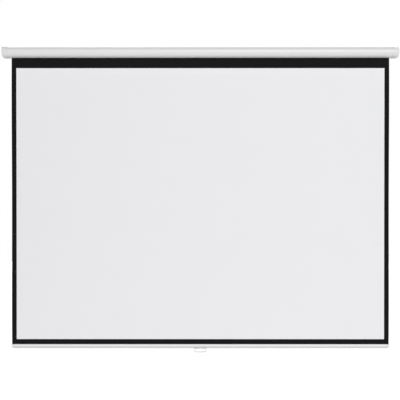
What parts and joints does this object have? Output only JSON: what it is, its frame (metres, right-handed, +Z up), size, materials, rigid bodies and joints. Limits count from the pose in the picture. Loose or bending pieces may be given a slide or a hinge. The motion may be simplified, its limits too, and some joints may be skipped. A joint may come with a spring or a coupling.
{
  "type": "pull down projector screen",
  "caption": "Wall or ceiling hung spring-roller projection screen: white case, matt white surface with black borders, weighted slat bar and pull handle.",
  "frame": {"origin": "centre of the case's flat back face, on the wall plane, level with the roller's axis", "axes": "+X along the case to the viewer's right, +Y back into the wall, +Z up"},
  "size_m": [2.197, 0.0618, 1.6907],
  "materials": {
    "case_paint": "satin white powder coat",
    "slat_paint": "satin white powder coat",
    "handle_paint": "satin light grey coat",
    "cap_plastic": "fine moulded grain",
    "black_fabric": "matt black coated cloth",
    "view_fabric": "matt white coating",
    "zinc_steel": "bright zinc plate",
    "dark_steel": "oiled dark steel",
    "nylon": "natural nylon"
  },
  "bodies": {
    "case": {"case_shell": "case_paint", "end_cap_left": "cap_plastic", "end_cap_right": "cap_plastic", "hanger_left": "zinc_steel", "hanger_right": "zinc_steel", "hanger_screw_left_rear": "zinc_steel", "hanger_screw_left_front": "zinc_steel", "hanger_screw_right_rear": "zinc_steel", "hanger_screw_right_front": "zinc_steel", "cap_screw_left_front": "zinc_steel", "cap_screw_left_rear": "zinc_steel", "cap_screw_right_front": "zinc_steel", "cap_screw_right_rear": "zinc_steel", "tang_bracket": "zinc_steel", "pin_bracket": "zinc_steel", "idler_bush": "nylon", "spring_spindle": "zinc_steel", "ratchet_wheel": "dark_steel", "retaining_ring": "dark_steel", "spring_hub": "nylon", "torsion_spring": "dark_steel", "fabric_sheet": "black_fabric", "view_surface": "view_fabric"},
    "roller": {"roller_tube": "zinc_steel", "lock_plug": "nylon", "idler_plug": "nylon", "gudgeon_pin": "zinc_steel", "spring_plug": "nylon", "fabric_spline": "nylon", "fabric_on_roller": "black_fabric", "pawl_pin_a": "zinc_steel", "pawl_pin_b": "zinc_steel"},
    "upper_pawl": {"pawl_a": "dark_steel"},
    "lower_pawl": {"pawl_b": "dark_steel"},
    "screen_bar": {"slat_bar": "slat_paint", "slat_cap_left": "cap_plastic", "slat_cap_right": "cap_plastic", "hem_keder": "nylon", "weight_rod_left": "dark_steel", "weight_rod_right": "dark_steel", "handle_clip": "handle_paint", "handle_screw_left": "zinc_steel", "handle_screw_right": "zinc_steel"},
    "handle": {"handle_bail": "handle_paint"}
  },
  "joints": [
    {"name": "screen_lift", "type": "slide", "parent": "case", "child": "screen_bar", "axis": [0, 0, 1], "range_m": [0, 1.59], "deforming": ["fabric_sheet", "view_surface"]},
    {"name": "roller_turn", "type": "hinge", "parent": "case", "child": "roller", "pos_m": [0, -0.032, 0], "axis": [1, 0, 0], "range_deg": [0, 3962], "deforming": ["torsion_spring"]},
    {"name": "pawl_a_swing", "type": "hinge", "parent": "roller", "child": "upper_pawl", "pos_m": [-1.0569, -0.032, 0.0165], "axis": [1, 0, 0], "range_deg": [0, 12]},
    {"name": "pawl_b_swing", "type": "hinge", "parent": "roller", "child": "lower_pawl", "pos_m": [-1.0569, -0.032, -0.0165], "axis": [1, 0, 0], "range_deg": [0, 12]},
    {"name": "handle_swing", "type": "hinge", "parent": "screen_bar", "child": "handle", "pos_m": [0, -0.02343, -1.6378], "axis": [-1, 0, 0], "range_deg": [-35, 95]}
  ],
  "couplings": [
    {"joint": "roller_turn", "follows": "screen_lift", "rad_per_m": 43.469}
  ]
}
